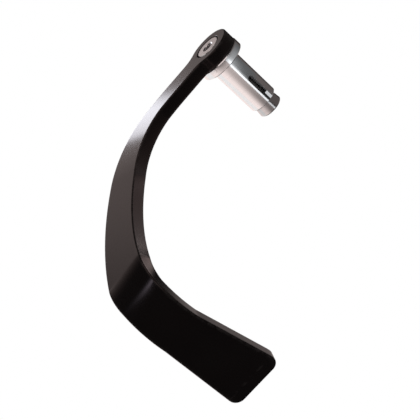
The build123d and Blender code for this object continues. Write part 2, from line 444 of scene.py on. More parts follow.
def finger_arc(radius, half_slot):
    """Angles of an arc from slot wall to slot wall. A wall at half a slot's width from the middle
    cuts a circle at the angle whose sine is half_slot / radius."""
    cut = np.arcsin(half_slot / radius)[:, None]
    return cut + (math.pi - 2 * cut) * np.linspace(0, 1, ARC_STEPS + 1)


def slot_wall(near, far):
    """Points straight across the sleeve's wall, from one rim to the other."""
    share = np.linspace(0, 1, WALL_STEPS + 1)[:, None]
    return near[:, None] * (1 - share) + far[:, None] * share


finger_inner = bore_radius(finger_x)
for turn in (0.0, math.pi):
    outside = ring_points(finger_x[:, None], finger_outer[:, None],
                          SLOT_ANGLE + turn + finger_arc(finger_outer, finger_half_slot))
    inside = ring_points(finger_x[:, None], finger_inner[:, None],
                         SLOT_ANGLE + turn + finger_arc(finger_inner, finger_half_slot))
    finger_edge = np.zeros(outside.shape[:2])
    finger_edge[-2:] = 1
    finger_edge[len(slot_round) - 1:, [0, -1]] = 1
    end_share = np.linspace(0, 1, WALL_STEPS + 1)[:, None, None]
    plug_grids += [
        (outside, finger_edge),
        (inside, 0.0),
        (slot_wall(outside[:, 0], inside[:, 0]), 0.0),
        (slot_wall(outside[:, -1], inside[:, -1]), 0.0),
        (outside[-1] * (1 - end_share) + inside[-1] * end_share, 1.0),
    ]
print("the slots are", round((SLEEVE_LENGTH - SLOT_START_X) / MM, 1), "mm long")


# %% Sew the plug and soften its corners
TURNED_SHARP_DEGREES = 32
PLUG_DEBURR = 0.1 * MM


def soften_corners(piece, width):
    """Narrow round-overs where faces meet at a corner, as a deburring wheel leaves them."""
    bevel = piece.modifiers.new("deburred_corners", "BEVEL")
    bevel.width = width
    bevel.segments = 2
    bevel.limit_method = "ANGLE"
    bevel.angle_limit = math.radians(TURNED_SHARP_DEGREES)
    bevel.harden_normals = True


plug = skin_piece("bar_end_plug_skin", plug_grids, TURNED_SHARP_DEGREES)
soften_corners(plug, PLUG_DEBURR)
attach(plug, "plug")
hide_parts("bar_end_plug")

# %% [markdown]
# The expander is a grey steel cone with a threaded hole. Two keys on it lie in the slots and keep it
# from turning, so that the bolt draws it in and spreads the sleeve. The cone is one profile carried
# round the axis. A key is a small block, and its flat top leans forward and shines in the slot.

# %% Cone and its keys
CONE_RADIUS = 6.8 * MM
CONE_SLOPE = math.tan(math.radians(6.0))
CONE_NOSE_X = 25.0 * MM
CONE_END_X = 35.3 * MM
CONE_BREAK = 0.6 * MM
NUT_RADIUS = 4.05 * MM
NUT_MOUTH = 0.5 * MM
KEY_LENGTH = 4.3 * MM
KEY_WIDTH = 1.8 * MM
KEY_TOP_RADIUS = 7.45 * MM
KEY_LEAN = math.tan(math.radians(19.5))
KEY_ROOT_RADIUS = 5.2 * MM
KEY_CLEARANCE = 0.05 * MM
CONE_DEBURR = 0.08 * MM

cone_body_x = np.linspace(CONE_NOSE_X, CONE_END_X - CONE_BREAK, 9)
cone_x = np.concatenate([
    [CONE_NOSE_X], cone_body_x, [CONE_END_X, CONE_END_X, CONE_END_X - NUT_MOUTH, CONE_NOSE_X],
])
cone_radius = np.concatenate([
    [NUT_RADIUS], CONE_RADIUS - (CONE_END_X - cone_body_x) * CONE_SLOPE,
    [CONE_RADIUS - CONE_BREAK, NUT_RADIUS + NUT_MOUTH, NUT_RADIUS, NUT_RADIUS],
])
cone_edge = np.concatenate([np.zeros(len(cone_body_x)), [1, 1, 0, 0, 0]])
cone_grids = [turned_grid(cone_x, cone_radius, full_turn, cone_edge)]

slot_ray = ring_points(0.0, 1.0, SLOT_ANGLE)
slot_side = ring_points(0.0, 1.0, SLOT_ANGLE - math.pi / 2)
key_far_side = SLOT_WIDTH / 2 - KEY_CLEARANCE
key_across = key_far_side - KEY_WIDTH * np.linspace(0, 1, 7)
key_far_top = math.sqrt(KEY_TOP_RADIUS ** 2 - key_far_side ** 2)
key_top = key_far_top + (key_across - key_far_side) * KEY_LEAN
key_rise = np.linspace(0, 1, 5)[:, None]
key_section_height = KEY_ROOT_RADIUS + (key_top - KEY_ROOT_RADIUS) * key_rise
key_section = key_across[:, None] * slot_side + key_section_height[..., None] * slot_ray
key_x = SLEEVE_LENGTH - KEY_LENGTH * np.linspace(0, 1, 6)[:, None, None]
axis_x = np.array([1.0, 0, 0])
for half in (1, -1):
    section = key_section * half
    rows = [section[-1], section[:, 0], section[:, -1], section[0]]
    cone_grids += [(row + key_x * axis_x, 0.0) for row in rows]
    cone_grids += [(section + key_x[end] * axis_x, 0.0) for end in (0, -1)]

cone = skin_piece("expander_cone_skin", cone_grids, TURNED_SHARP_DEGREES)
soften_corners(cone, CONE_DEBURR)
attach(cone, "cone")
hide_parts("expander_cone")

# %% [markdown]
# The clamp bolt is an M8 with a low head, sunk in the eye. Its hexagon socket takes a 5 mm key. The
# head is a profile carried round the axis, joined to the socket by a loop whose radius is that of a
# hexagon: half the width across flats, divided by the cosine of the angle from the nearest flat. A
# round countersink leads in, and it slopes at 45 degrees, so it meets the hexagon deeper where the
# hexagon is narrower. The thread is a cylinder with a ridge that climbs one pitch in each turn.

# %% Bolt head and socket
HEAD_TOP_X = -11.3 * MM
HEAD_SEAT_X = -6.3 * MM
HEAD_RADIUS = 6.5 * MM
HEAD_BREAK = 0.2 * MM
HEAD_BREAK_DEPTH = 0.4 * MM
SOCKET_ACROSS_FLATS = 5.0 * MM
SOCKET_DEPTH = 2.6 * MM
SOCKET_POINT = 0.6 * MM
SOCKET_MOUTH_RADIUS = 3.1 * MM
BOLT_RADIUS = 4.0 * MM

bolt_angle = np.linspace(0, 2 * math.pi, 145)
from_flat = np.mod(bolt_angle, math.pi / 3) - math.pi / 6
hexagon = SOCKET_ACROSS_FLATS / 2 / np.cos(from_flat)
mouth_ring = np.full_like(hexagon, SOCKET_MOUTH_RADIUS)
same_depth = np.ones_like(hexagon)
socket_radius = np.stack([mouth_ring, hexagon, hexagon, hexagon, 0 * hexagon])
socket_depth = np.stack([
    0 * same_depth, mouth_ring - hexagon, SOCKET_DEPTH / 2 * same_depth,
    SOCKET_DEPTH * same_depth, (SOCKET_DEPTH + SOCKET_POINT) * same_depth,
])
socket_grid = ring_points(HEAD_TOP_X + socket_depth, socket_radius, bolt_angle)
head_share = np.linspace(0, 1, 5)[:, None, None]
head_rim = ring_points(HEAD_TOP_X, HEAD_RADIUS - HEAD_BREAK, bolt_angle)
bolt_grids = [
    (socket_grid, np.array([1, 1, 0, 0, 0.0])[:, None]),
    (socket_grid[0] * (1 - head_share) + head_rim * head_share, 0.0),
]
print("the socket's corners lie", round(hexagon.max() / MM, 2), "mm from the axis")

# %% Bolt shank and thread
THREAD_PITCH = 1.25 * MM
THREAD_DEPTH = 0.62 * MM
THREAD_START_X = 9.0 * MM
BOLT_END_X = 33.7 * MM
BOLT_END_BREAK = 0.8 * MM
ROWS_PER_TURN = 12
BOLT_SHARP_DEGREES = 28

thread_rows = int((BOLT_END_X - BOLT_END_BREAK - THREAD_START_X) / THREAD_PITCH * ROWS_PER_TURN)
thread_x = np.linspace(THREAD_START_X, BOLT_END_X - BOLT_END_BREAK, thread_rows)[:, None]
climb = np.mod(thread_x / THREAD_PITCH - bolt_angle / (2 * math.pi), 1)
groove = np.clip(1.15 * np.abs(2 * climb - 1) - 0.1, 0, 1)
run_in = np.clip((thread_x - THREAD_START_X) / THREAD_PITCH, 0, 1)
thread_grid = ring_points(thread_x, BOLT_RADIUS - THREAD_DEPTH * groove * run_in, bolt_angle)
end_radius = BOLT_RADIUS - BOLT_END_BREAK
end_ring = ring_points(BOLT_END_X, end_radius, bolt_angle)
end_share = np.linspace(0, 1, 4)[:, None, None]
bolt_grids += [
    turned_grid(
        [HEAD_TOP_X, HEAD_TOP_X + HEAD_BREAK_DEPTH, HEAD_SEAT_X, HEAD_SEAT_X, THREAD_START_X],
        [HEAD_RADIUS - HEAD_BREAK, HEAD_RADIUS, HEAD_RADIUS, BOLT_RADIUS, BOLT_RADIUS],
        bolt_angle, [1, 1, 0, 0, 0]),
    (thread_grid, 0.0),
    (thread_grid[-1] * (1 - end_share) + end_ring * end_share, 0.0),
    turned_grid([BOLT_END_X, BOLT_END_X], [end_radius, 0], bolt_angle),
]
bolt = skin_piece("clamp_bolt_skin", bolt_grids, BOLT_SHARP_DEGREES)
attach(bolt, "bolt")
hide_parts("clamp_bolt")

# %% [markdown]
# Four small effects are shared by the finishes: a fine grain, the rings that a lathe tool leaves,
# wear along the edges, and a painted shade inside bores and slots, where the surface is also dull.
# Each is built once as a node group with named inputs and outputs, so a material only places it and
# sets its own values. Object coordinates are metres on the piece, so a scale of 4000 gives features
# of about a quarter of a millimetre.


# %% Helpers for node trees
def add_node(tree, kind, settings=None, **inputs):
    """A node with its settings, and with each named input set to a value or linked to a socket."""
    new = tree.nodes.new("ShaderNode" + kind)
    for key, value in (settings or {}).items():
        setattr(new, key, value)
    for key, value in inputs.items():
        socket = new.inputs[int(key[1:])] if key[1:].isdigit() else new.inputs[key.replace("_", " ")]
        if isinstance(value, bpy.types.NodeSocket):
            tree.links.new(value, socket)
        else:
            socket.default_value = value
    return new


def maths(tree, operation, first, second=0.0, clamp=False):
    """The result of one sum on numbers or sockets."""
    settings = {"operation": operation, "use_clamp": clamp}
    return add_node(tree, "Math", settings, _0=first, _1=second).outputs[0]


def new_group(name, inputs, outputs):
    """An empty node group with named number inputs and outputs."""
    tree = bpy.data.node_groups.new(name, "ShaderNodeTree")
    for label, value in inputs.items():
        socket = tree.interface.new_socket(label, in_out="INPUT", socket_type="NodeSocketFloat")
        socket.default_value = value
    for label in outputs:
        tree.interface.new_socket(label, in_out="OUTPUT", socket_type="NodeSocketFloat")
    return tree, tree.nodes.new("NodeGroupInput").outputs, tree.nodes.new("NodeGroupOutput").inputs


# %% Shared effects
def make_fine_grain():
    """Small even bumps from blasting, and slow cloudy changes from the dye bath or from handling."""
    scales = {"Grain Scale": 4000.0, "Cloud Scale": 60.0}
    tree, given, result = new_group("fine_grain", scales, ["Grain", "Cloud"])
    place = add_node(tree, "TexCoord").outputs["Object"]
    grain = add_node(
        tree, "TexNoise", Vector=place, Scale=given["Grain Scale"], Detail=3.0, Roughness=0.6)
    cloud = add_node(
        tree, "TexNoise", Vector=place, Scale=given["Cloud Scale"], Detail=4.0, Roughness=0.55)
    tree.links.new(grain.outputs[0], result["Grain"])
    tree.links.new(cloud.outputs[0], result["Cloud"])
    return tree


def axis_places(tree):
    """A point's place along the plug's axis, and its distance from the axis."""
    parts = add_node(tree, "SeparateXYZ", _0=add_node(tree, "TexCoord").outputs["Object"]).outputs
    squares = [maths(tree, "MULTIPLY", part, part) for part in parts[1:]]
    return parts[0], maths(tree, "SQRT", maths(tree, "ADD", *squares))


def make_lathe_rings():
    """Rings from a lathe tool: noise along x plus the radius, so that a cylinder has rings round
    it and an end face has rings about its centre."""
    tree, given, result = new_group("lathe_rings", {"Rings Scale": 9000.0}, ["Rings", "Bands"])
    travel = maths(tree, "ADD", *axis_places(tree))
    line = {"noise_dimensions": "1D"}
    wide_scale = maths(tree, "MULTIPLY", given["Rings Scale"], 0.12)
    fine = add_node(tree, "TexNoise", line, W=travel, Scale=given["Rings Scale"], Detail=2.0)
    wide = add_node(tree, "TexNoise", line, W=travel, Scale=wide_scale, Detail=2.0)
    tree.links.new(fine.outputs[0], result["Rings"])
    tree.links.new(wide.outputs[0], result["Bands"])
    return tree


def make_edge_wear():
    """Wear on the piece's own edge attribute, broken up by noise so that it comes and goes."""
    tree, given, result = new_group("edge_wear", {"Amount": 0.5, "Patch Scale": 300.0}, ["Wear"])
    edge = add_node(tree, "Attribute", {"attribute_name": "edge"}).outputs["Fac"]
    place = add_node(tree, "TexCoord").outputs["Object"]
    noise = add_node(tree, "TexNoise", Vector=place, Scale=given["Patch Scale"], Detail=5.0)
    broken = maths(tree, "MULTIPLY_ADD", noise.outputs[0], 2.2, clamp=True)
    broken.node.inputs[2].default_value = -0.75
    rubbed = maths(tree, "MULTIPLY", maths(tree, "POWER", edge, 2.0), broken)
    wear = maths(tree, "MULTIPLY", rubbed, given["Amount"], clamp=True)
    tree.links.new(wear, result["Wear"])
    return tree


# The mask for painted shade: what it marks is painted darker for the shadow in bores and slots.
def make_shaded_inside():
    """1 where a point is nearer to the axis than Radius and short of Reach along it, else 0."""
    tree, given, result = new_group("shaded_inside", {"Radius": 0.0077, "Reach": 0.0295}, ["Inside"])
    place, radius = axis_places(tree)
    near_axis = maths(tree, "LESS_THAN", radius, given["Radius"])
    short_of_end = maths(tree, "LESS_THAN", place, given["Reach"])
    tree.links.new(maths(tree, "MULTIPLY", near_axis, short_of_end), result["Inside"])
    return tree


FINE_GRAIN, LATHE_RINGS = make_fine_grain(), make_lathe_rings()
EDGE_WEAR, SHADED_INSIDE = make_edge_wear(), make_shaded_inside()
print("shared effects:", [tree.name for tree in bpy.data.node_groups])


# %% Helpers for materials
def new_finish(name):
    """An empty material with a Principled shader: its tree and the shader's inputs."""
    material = bpy.data.materials.new(name)
    material.use_nodes = True
    tree = material.node_tree
    tree.nodes.clear()
    shader = tree.nodes.new("ShaderNodeBsdfPrincipled")
    tree.links.new(shader.outputs[0], tree.nodes.new("ShaderNodeOutputMaterial").inputs[0])
    return material, tree, shader.inputs


def place_group(tree, group, **inputs):
    """A shared effect placed in a material with its own values."""
    return add_node(tree, "Group", {"node_tree": group}, **inputs).outputs


def spread(tree, value, low, high):
    """A number between 0 and 1 spread from low to high."""
    return add_node(tree, "MapRange", Value=value, To_Min=low, To_Max=high).outputs[0]


def mixed_colour(tree, share, first, second):
    """A colour that goes from first to second as the share goes from 0 to 1. Either may be a socket."""
    ends = [end if isinstance(end, bpy.types.NodeSocket) else (*end, 1) for end in (first, second)]
    return add_node(tree, "Mix", {"data_type": "RGBA"}, _0=share, _6=ends[0], _7=ends[1]).outputs[2]


BUMP_DEPTH = 0.01 * MM


def bump(tree, height, strength):
    """A bump from a height, whose full range stands for a real depth."""
    return add_node(tree, "Bump", Height=height, Strength=strength, Distance=BUMP_DEPTH).outputs[0]


# %% [markdown]
# Black anodising is a thin dyed layer of oxide on blasted aluminium. It is nearly black, and what
# the eye sees is mostly reflection: a satin sheen that turns white where the plate bends past a lamp
# and brown-grey at a glance, because the dye isn't quite neutral. A plain dielectric shader does
# this. The grain drives roughness and bump, and rubbed edges are a little paler.

# %% Black anodised plate
anodised, tree, shader = new_finish("black_anodised_plate")
grain = place_group(tree, FINE_GRAIN, Grain_Scale=5200.0, Cloud_Scale=45.0)
wear = place_group(tree, EDGE_WEAR, Amount=0.35, Patch_Scale=420.0)["Wear"]
dye = mixed_colour(tree, grain["Cloud"], (0.0019, 0.0017, 0.0017), (0.0036, 0.0031, 0.0031))
rubbed = mixed_colour(tree, wear, dye, (0.03, 0.026, 0.025))
tree.links.new(rubbed, shader["Base Color"])
fine_satin = spread(tree, grain["Grain"], 0.16, 0.2)
slow_satin = spread(tree, grain["Cloud"], -0.015, 0.015)
tree.links.new(maths(tree, "ADD", fine_satin, slow_satin), shader["Roughness"])
tree.links.new(bump(tree, grain["Grain"], 0.06), shader["Normal"])
shader["Specular IOR Level"].default_value = 0.25
shader["Specular Tint"].default_value = (1.0, 0.71, 0.68, 1)
blade.data.materials.append(anodised)
print(anodised.name, "has", len(tree.nodes), "nodes")

# %% [markdown]
# The plug is bare aluminium straight from the lathe. Its shine is broken into fine rings, which
# stretch every highlight into a line along the sleeve. Rings drive roughness and bump, and wider
# bands change the tone a little where the tool was set again. In the bore and the slots the colour
# is a painted shade, a flat dark grey for the shadow there, and the surface is dull. This painted
# film is no metal, so the shader's Metallic value falls to 0 there. It starts a little below the
# sleeve's outside and stops a little short of its end.

# %% Turned aluminium
# Painted shade: a flat dark grey for the shadow in the bore and the slots, which are also dull.
PAINTED_SHADE_FILM_COLOUR = (0.15, 0.15, 0.155)
FILM_ROUGHNESS = 0.4
aluminium, tree, shader = new_finish("turned_aluminium_plug")
rings = place_group(tree, LATHE_RINGS, Rings_Scale=9000.0)
wear = place_group(tree, EDGE_WEAR, Amount=0.6, Patch_Scale=500.0)["Wear"]
tone = mixed_colour(tree, rings["Bands"], (0.86, 0.85, 0.855), (0.93, 0.92, 0.92))
below_skin = SLEEVE_RADIUS - 0.05 * MM
short_of_end = SLEEVE_LENGTH - 0.1 * MM
# 1 in the bore and the slots, where the colour is painted dark for shade and the metal is dull.
painted_shade_and_film = place_group(tree, SHADED_INSIDE, Radius=below_skin, Reach=short_of_end)["Inside"]
tree.links.new(mixed_colour(tree, painted_shade_and_film, tone, PAINTED_SHADE_FILM_COLOUR), shader["Base Color"])
tree.links.new(maths(tree, "SUBTRACT", 1.0, painted_shade_and_film), shader["Metallic"])
ring_roughness = spread(tree, rings["Rings"], 0.13, 0.2)
polished = maths(tree, "SUBTRACT", ring_roughness, maths(tree, "MULTIPLY", wear, 0.04))
dulled = maths(tree, "ADD", polished, maths(tree, "MULTIPLY", painted_shade_and_film, FILM_ROUGHNESS))
tree.links.new(dulled, shader["Roughness"])
tree.links.new(bump(tree, rings["Rings"], 0.06), shader["Normal"])
shader["Anisotropic"].default_value = 0.2
shader["Anisotropic Rotation"].default_value = 0.25
round_axis = add_node(tree, "Tangent", {"direction_type": "RADIAL", "axis": "X"})
tree.links.new(round_axis.outputs[0], shader["Tangent"])
plug.data.materials.append(aluminium)
print(aluminium.name, "has", len(tree.nodes), "nodes")

# %% [markdown]
# The cone is turned steel, greyer than the plug and with coarser rings. Where it lies inside the
# sleeve, and low on its keys, it is painted darker for the shade there and made dull, as the slots
# are, but darker.

# %% Dark steel cone
KEY_SHOULDER_RADIUS = 6.72 * MM
# Painted shade: the cone inside the sleeve and low on its keys is darkened for the shadow there.
CONE_PAINTED_SHADE_COLOUR = (0.04, 0.04, 0.041)
dark_steel, tree, shader = new_finish("dark_steel_cone")
rings = place_group(tree, LATHE_RINGS, Rings_Scale=6000.0)
wear = place_group(tree, EDGE_WEAR, Amount=0.8, Patch_Scale=500.0)["Wear"]
turned = mixed_colour(tree, rings["Bands"], (0.56, 0.55, 0.55), (0.64, 0.63, 0.63))
bright = mixed_colour(tree, wear, turned, (0.8, 0.78, 0.77))
painted_shade_and_film = place_group(tree, SHADED_INSIDE, Radius=KEY_SHOULDER_RADIUS, Reach=short_of_end)["Inside"]
tree.links.new(mixed_colour(tree, painted_shade_and_film, bright, CONE_PAINTED_SHADE_COLOUR), shader["Base Color"])
tree.links.new(maths(tree, "SUBTRACT", 1.0, painted_shade_and_film), shader["Metallic"])
ring_roughness = spread(tree, rings["Rings"], 0.13, 0.2)
dulled = maths(tree, "ADD", ring_roughness, maths(tree, "MULTIPLY", painted_shade_and_film, FILM_ROUGHNESS))
tree.links.new(dulled, shader["Roughness"])
tree.links.new(bump(tree, rings["Rings"], 0.08), shader["Normal"])
cone.data.materials.append(dark_steel)
print(dark_steel.name, "has", len(tree.nodes), "nodes")

# %% [markdown]
# The bolt is plated steel with a satin face: a fine grain on top of faint rings, and bright corners
# where the key goes in and out. Its thread, from just before it starts, is painted dark and dull as
# a painted shade for the sleeve round it.

# %% Plated steel bolt
# Painted shade: the thread inside the sleeve is darkened and dulled for the shadow round it.
THREAD_PAINTED_SHADE = (0.1, 0.098, 0.096)
plated, tree, shader = new_finish("plated_steel_bolt")
rings = place_group(tree, LATHE_RINGS, Rings_Scale=7000.0)
grain = place_group(tree, FINE_GRAIN, Grain_Scale=6000.0, Cloud_Scale=250.0)
wear = place_group(tree, EDGE_WEAR, Amount=0.8, Patch_Scale=600.0)["Wear"]
plate = mixed_colour(tree, grain["Cloud"], (0.60, 0.585, 0.585), (0.74, 0.72, 0.72))
along_bolt = axis_places(tree)[0]
thread_shade_start = {"From_Min": 0.8 * THREAD_START_X, "From_Max": THREAD_START_X}
thread_shade = add_node(tree, "MapRange", Value=along_bolt, **thread_shade_start).outputs[0]
tree.links.new(mixed_colour(tree, thread_shade, plate, THREAD_PAINTED_SHADE), shader["Base Color"])
tree.links.new(maths(tree, "SUBTRACT", 1.0, thread_shade), shader["Metallic"])
grain_roughness = spread(tree, grain["Grain"], 0.22, 0.32)
rubbed = maths(tree, "SUBTRACT", grain_roughness, maths(tree, "MULTIPLY", wear, 0.1))
tree.links.new(maths(tree, "ADD", rubbed, maths(tree, "MULTIPLY", thread_shade, 0.25)), shader["Roughness"])
ring_height = maths(tree, "MULTIPLY", rings["Rings"], 0.6)
height = maths(tree, "ADD", ring_height, maths(tree, "MULTIPLY", grain["Grain"], 0.4))
tree.links.new(bump(tree, height, 0.06), shader["Normal"])
bolt.data.materials.append(plated)
print(plated.name, "has", len(tree.nodes), "nodes")

# %% [markdown]
# The camera was found from the round faces and straight sides of the object. It stands outside the
# bar's end, a little above it, and is rolled, so that the blade runs down the picture. Its three
# directions and its place are all that a camera is, so they are written straight into its matrix.

# %% Camera
CAMERA_PLACE = np.array([-186.98, -578.06, 39.89]) * MM
VIEW_DIRECTION = np.array([0.3767, 0.9125, -0.1593])
VIEW_UP = np.array([-0.6108, 0.3740, 0.6979])
PICTURE_SIZE = 420
FOCAL_PIXELS = 1208.4
SENSOR_WIDTH = 36.0

view_back = -VIEW_DIRECTION / np.linalg.norm(VIEW_DIRECTION)
view_right = np.cross(VIEW_UP, view_back)
view_right /= np.linalg.norm(view_right)
view_up = np.cross(view_back, view_right)
camera_data = bpy.data.cameras.new("photo_camera")
camera_data.sensor_width = SENSOR_WIDTH
camera_data.lens = FOCAL_PIXELS / PICTURE_SIZE * SENSOR_WIDTH
camera_data.clip_start = 0.01
camera = bpy.data.objects.new("photo_camera", camera_data)
bpy.context.scene.collection.objects.link(camera)
camera_frame = np.eye(4)
camera_frame[:3] = np.stack([view_right, view_up, view_back, CAMERA_PLACE], axis=1)
camera.matrix_world = Matrix(camera_frame.tolist())
bpy.context.scene.camera = camera
print("lens in mm:", round(camera_data.lens, 1))

# %% [markdown]
# A satin black plate and a turned plug show little but what they mirror, so the light is set up
# piece by piece, as a photographer would do it with lamps and cards. A cool lamp behind the arm
# makes the white patch on its bend. A small warm one stands close to the shank's narrow side, and a
# soft one fills in from the left. The cards come further on.


# %% Lamps
def soft_lamp(name, aim, direction, distance, long_axis, size, radiance, colour):
    """An area lamp at a distance from the aim. A lamp of area A that gives P watts has a
    radiance of P / (pi A), so its watts follow from how bright its face should look."""
    data = bpy.data.lights.new(name, "AREA")
    data.shape = "RECTANGLE"
    data.size, data.size_y = size
    data.energy = radiance * math.pi * size[0] * size[1]
    data.color = colour
    lamp = bpy.data.objects.new(name, data)
    bpy.context.scene.collection.objects.link(lamp)
    away = np.asarray(direction) / np.linalg.norm(direction)
    short_side = np.cross(away, long_axis)
    short_side /= np.linalg.norm(short_side)
    long_side = np.cross(short_side, away)
    place = np.eye(4)
    place[:3] = np.stack([long_side, short_side, away, aim + away * distance], axis=1)
    lamp.matrix_world = Matrix(place.tolist())
    lamp.visible_camera = False
    print(name, "gives", round(data.energy, 2), "W")


WHITE_LIGHT = (1.0, 0.985, 0.975)
COOL_LIGHT = (0.84, 0.88, 0.96)
WARM_LIGHT = (1.0, 0.9, 0.88)
arm_end = np.array([-11.4, -11.0, -46.0]) * MM
sleeve_middle = np.array([15.0, -7.0, 2.0]) * MM
shank_side = np.array([6.1, -57.9, -76.4]) * MM
soft_lamp("bend_lamp", arm_end, direction=(-0.335, 0.925, -0.18), distance=0.12,
          long_axis=(-0.7, -0.12, 0.7), size=(0.08, 0.042), radiance=5.4, colour=COOL_LIGHT)
soft_lamp("shank_lamp", shank_side, direction=(0.215, 0.4, 0.89), distance=0.044,
          long_axis=(0.77, 0.5, -0.39), size=(0.026, 0.01), radiance=1.1, colour=WARM_LIGHT)
soft_lamp("side_lamp", sleeve_middle, direction=(-0.75, -0.45, 0.55), distance=0.68,
          long_axis=(1, -1, 0), size=(0.4, 0.4), radiance=0.9, colour=WHITE_LIGHT)

# %% [markdown]
# A catalogue picture is white to its edges. The world has a strength of 1. The camera and the mirrors
# see it as plain white, and the light that falls from all round is a little dimmer and warmer. The
# floor is a disc of pale paper well below the part, which hangs free from the bar's end, so its
# shadow there is soft.

# %% World and floor
FLOOR_Z = -0.6
world = bpy.data.worlds.new("white_studio")
bpy.context.scene.world = world
world.use_nodes = True
tree = world.node_tree
tree.nodes.clear()
rays = add_node(tree, "LightPath").outputs
mirrored_rays = maths(tree, "ADD", rays["Is Glossy Ray"], rays["Is Transmission Ray"])
seen_rays = maths(tree, "ADD", rays["Is Camera Ray"], mirrored_rays, clamp=True)
ambient = add_node(tree, "Background", Color=(0.95, 0.94, 0.94, 1), Strength=1.0)
backdrop = add_node(tree, "Background", Color=(1, 1, 1, 1), Strength=1.0)
studio = add_node(tree, "MixShader", _0=seen_rays, _1=ambient.outputs[0], _2=backdrop.outputs[0])
tree.links.new(studio.outputs[0], tree.nodes.new("ShaderNodeOutputWorld").inputs[0])


def stage_sheet(name, points):
    """An open sheet of the studio from one grid of points."""
    mesh = bpy.data.meshes.new(name)
    mesh.from_pydata(points.reshape(-1, 3), [], grid_faces(points.shape[0], points.shape[1], 0))
    mesh.shade_smooth()
    sheet = bpy.data.objects.new(name, mesh)
    bpy.context.scene.collection.objects.link(sheet)
    return sheet


FLOOR_REACH = 0.7
FLOOR_EYE = 0.01
floor_turn, floor_radius = np.meshgrid(
    np.linspace(0, 2 * math.pi, 65), np.linspace(FLOOR_EYE, FLOOR_REACH, 5))
floor_x = floor_radius * np.cos(floor_turn)
floor_y = floor_radius * np.sin(floor_turn)
floor_z = np.full_like(floor_x, FLOOR_Z)
floor = stage_sheet("pale_floor", np.stack([floor_x, floor_y, floor_z], axis=-1))
paper, tree, shader = new_finish("pale_floor_paper")
fibres = place_group(tree, FINE_GRAIN, Grain_Scale=900.0, Cloud_Scale=6.0)
pulp = mixed_colour(tree, fibres["Cloud"], (0.91, 0.91, 0.91), (0.95, 0.95, 0.95))
tree.links.new(pulp, shader["Base Color"])
shader["Roughness"].default_value = 0.8
floor.data.materials.append(paper)
print("the floor is a disc", 2 * FLOOR_REACH, "m across at a height of", FLOOR_Z, "m")

# %% [markdown]
# In a room that is white all round, black metal would look grey. So a dome of cloth hangs round the
# part, open towards the floor. Most of it is nearly black, and a few patches are pale: the wall
# behind, the table below and a sheet in front on the left. Each patch is a product of smooth steps
# in the three parts of the direction from the middle. The cloth is seen in reflections only, so it
# neither hides nor shades a thing, and from behind it is clear.

# %% Dome of dim cloth
DOME_RADIUS = 0.75
DOME_RIM_DEGREES = -53
DARK_TONE = 0.04
DIM_TOP_TONE = 0.09
BACK_TONE = 0.95
RIGHT_TONE = 0.57
FRONT_TONE = 0.8


def rise(value, low, high):
    """0 below low and 1 above high, with a smooth 3 t^2 - 2 t^3 between them."""
    share = np.clip((value - low) / (high - low), 0, 1)
    return share * share * (3 - 2 * share)


dome_turn, dome_height = np.meshgrid(
    np.linspace(2 * math.pi, 0, 145), np.radians(np.linspace(DOME_RIM_DEGREES, 90, 67)))
way_x = np.cos(dome_height) * np.sin(dome_turn)
way_y = np.cos(dome_height) * np.cos(dome_turn)
way_z = np.sin(dome_height)
dome = stage_sheet("cloth_dome", DOME_RADIUS * np.stack([way_x, way_y, way_z], axis=-1))
left_back = rise(way_y, -0.05, 0.6) * rise(-way_x, -0.05, 0.2)
pale_back = left_back * rise(way_z, -0.8, -0.47) * rise(-way_z, -0.25, 0.35)
table_edge = 0.55 - 0.45 * rise(way_y, -0.5, 0.5)
table_strip = rise(way_x, 0.1, 0.3) * rise(-way_x, -0.66, -0.56)
white_table = table_strip * rise(-way_z - table_edge, 0.0, 0.16)
right_back = rise(way_x, 0.37, 0.45) * rise(way_y, 0.5, 0.7) * rise(-way_z, -0.44, -0.36)
left_front = rise(-way_x, 0.15, 0.3) * rise(-way_y, 0.1, 0.25) * rise(-np.abs(way_z), -0.38, -0.28)
dim_top = rise(way_z, 0.45, 0.8) * rise(-way_x, -0.44, -0.38)
dark_tone = DARK_TONE + DIM_TOP_TONE * dim_top
pale_tone = BACK_TONE * pale_back + white_table + RIGHT_TONE * right_back + FRONT_TONE * left_front
cloth_tone = np.minimum(dark_tone + pale_tone, 1.0)


def lit_cloth(name, colour):
    """Cloth that glows by the tone at each point, and is clear from behind."""
    cloth = bpy.data.materials.new(name)
    cloth.use_nodes = True
    tree = cloth.node_tree
    tree.nodes.clear()
    tone = add_node(tree, "Attribute", {"attribute_name": "cloth_tone"}).outputs["Fac"]
    glow = add_node(tree, "Emission", Color=(*colour, 1), Strength=tone)
    behind = add_node(tree, "NewGeometry").outputs["Backfacing"]
    clear = add_node(tree, "BsdfTransparent").outputs[0]
    one_sided = add_node(tree, "MixShader", _0=behind, _1=glow.outputs[0], _2=clear)
    tree.links.new(one_sided.outputs[0], tree.nodes.new("ShaderNodeOutputMaterial").inputs[0])
    return cloth


def hang_cloth(sheet, tones, cloth):
    """Gives a sheet a lit cloth with a tone at each point, seen in reflections only."""
    tone_data = sheet.data.attributes.new("cloth_tone", "FLOAT", "POINT").data
    tone_data.foreach_set("value", tones.ravel().astype(np.float32))
    sheet.data.materials.append(cloth)
    sheet.visible_camera = False
    sheet.visible_diffuse = False
    sheet.visible_shadow = False
    print(sheet.name, "has tones from", round(tones.min(), 2), "to", round(tones.max(), 2))


WARM_CLOTH = lit_cloth("warm_cloth", (1.0, 0.87, 0.84))
hang_cloth(dome, cloth_tone, WARM_CLOTH)

# %% [markdown]
# A turned sleeve mirrors a whole half circle, from the ceiling to the table. A card bent round the
# bar's line stands so close in front of it that the sleeve mirrors it and the black arm beside it
# doesn't. It is dim at its top and turns white towards its foot, which gives the sleeve its slow
# change of tone. A bright band of cooler cloth above it draws the line along the sleeve, and a short
# sheet that bends on over the collar gives the metal there its bluish sheen.


